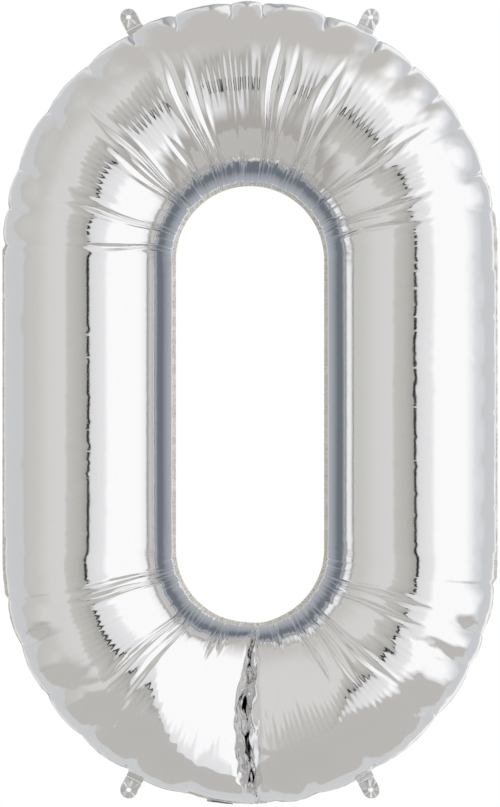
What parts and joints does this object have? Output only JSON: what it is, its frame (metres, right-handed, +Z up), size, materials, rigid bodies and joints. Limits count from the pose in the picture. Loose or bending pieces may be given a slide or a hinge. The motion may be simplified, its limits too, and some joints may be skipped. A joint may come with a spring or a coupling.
{
  "type": "foil number balloon",
  "caption": "Large inflated mirror-foil balloon in the shape of the numeral 0, with punched hanging tabs and a folded inflation neck.",
  "frame": {"origin": "centre of the balloon's bounding box, in the plane where its two films meet", "axes": "+Z up the numeral, +X to the right as seen from the front, -Y out of the front face"},
  "size_m": [0.532, 0.18, 0.8599],
  "materials": {
    "mirror_film": "mirror metallised film",
    "valve_film": "clear soft film"
  },
  "bodies": {
    "balloon": {"front_panel": "mirror_film", "back_panel": "mirror_film", "outer_seam": "mirror_film", "counter_seam": "mirror_film", "cross_seam": "mirror_film", "valve_film_front": "valve_film", "valve_film_back": "valve_film"},
    "tab_top_left": {"hanging_tab_top_left": "mirror_film"},
    "tab_top_right": {"hanging_tab_top_right": "mirror_film"},
    "tab_bottom_left": {"hanging_tab_bottom_left": "mirror_film"},
    "tab_bottom_right": {"hanging_tab_bottom_right": "mirror_film"},
    "neck": {"inflation_neck": "mirror_film"}
  },
  "joints": [
    {"name": "tab_crease_top_left", "type": "hinge", "parent": "balloon", "child": "tab_top_left", "pos_m": [-0.12393, 0, 0.40207], "axis": [0.887, 0, 0.4617], "range_deg": [-90, 90], "stiffness_Nm_per_rad": 0.0002},
    {"name": "tab_crease_top_right", "type": "hinge", "parent": "balloon", "child": "tab_top_right", "pos_m": [0.12393, 0, 0.40207], "axis": [0.887, 0, -0.4617], "range_deg": [-90, 90], "stiffness_Nm_per_rad": 0.0002},
    {"name": "tab_crease_bottom_left", "type": "hinge", "parent": "balloon", "child": "tab_bottom_left", "pos_m": [-0.12393, 0, -0.40207], "axis": [-0.887, 0, 0.4617], "range_deg": [-90, 90], "stiffness_Nm_per_rad": 0.0002},
    {"name": "tab_crease_bottom_right", "type": "hinge", "parent": "balloon", "child": "tab_bottom_right", "pos_m": [0.12393, 0, -0.40207], "axis": [-0.887, 0, -0.4617], "range_deg": [-90, 90], "stiffness_Nm_per_rad": 0.0002},
    {"name": "neck_crease", "type": "hinge", "parent": "balloon", "child": "neck", "pos_m": [-0.03223, 0, -0.42653], "axis": [-0.9925, 0, 0.1219], "range_deg": [0, 200], "stiffness_Nm_per_rad": 0.002}
  ]
}
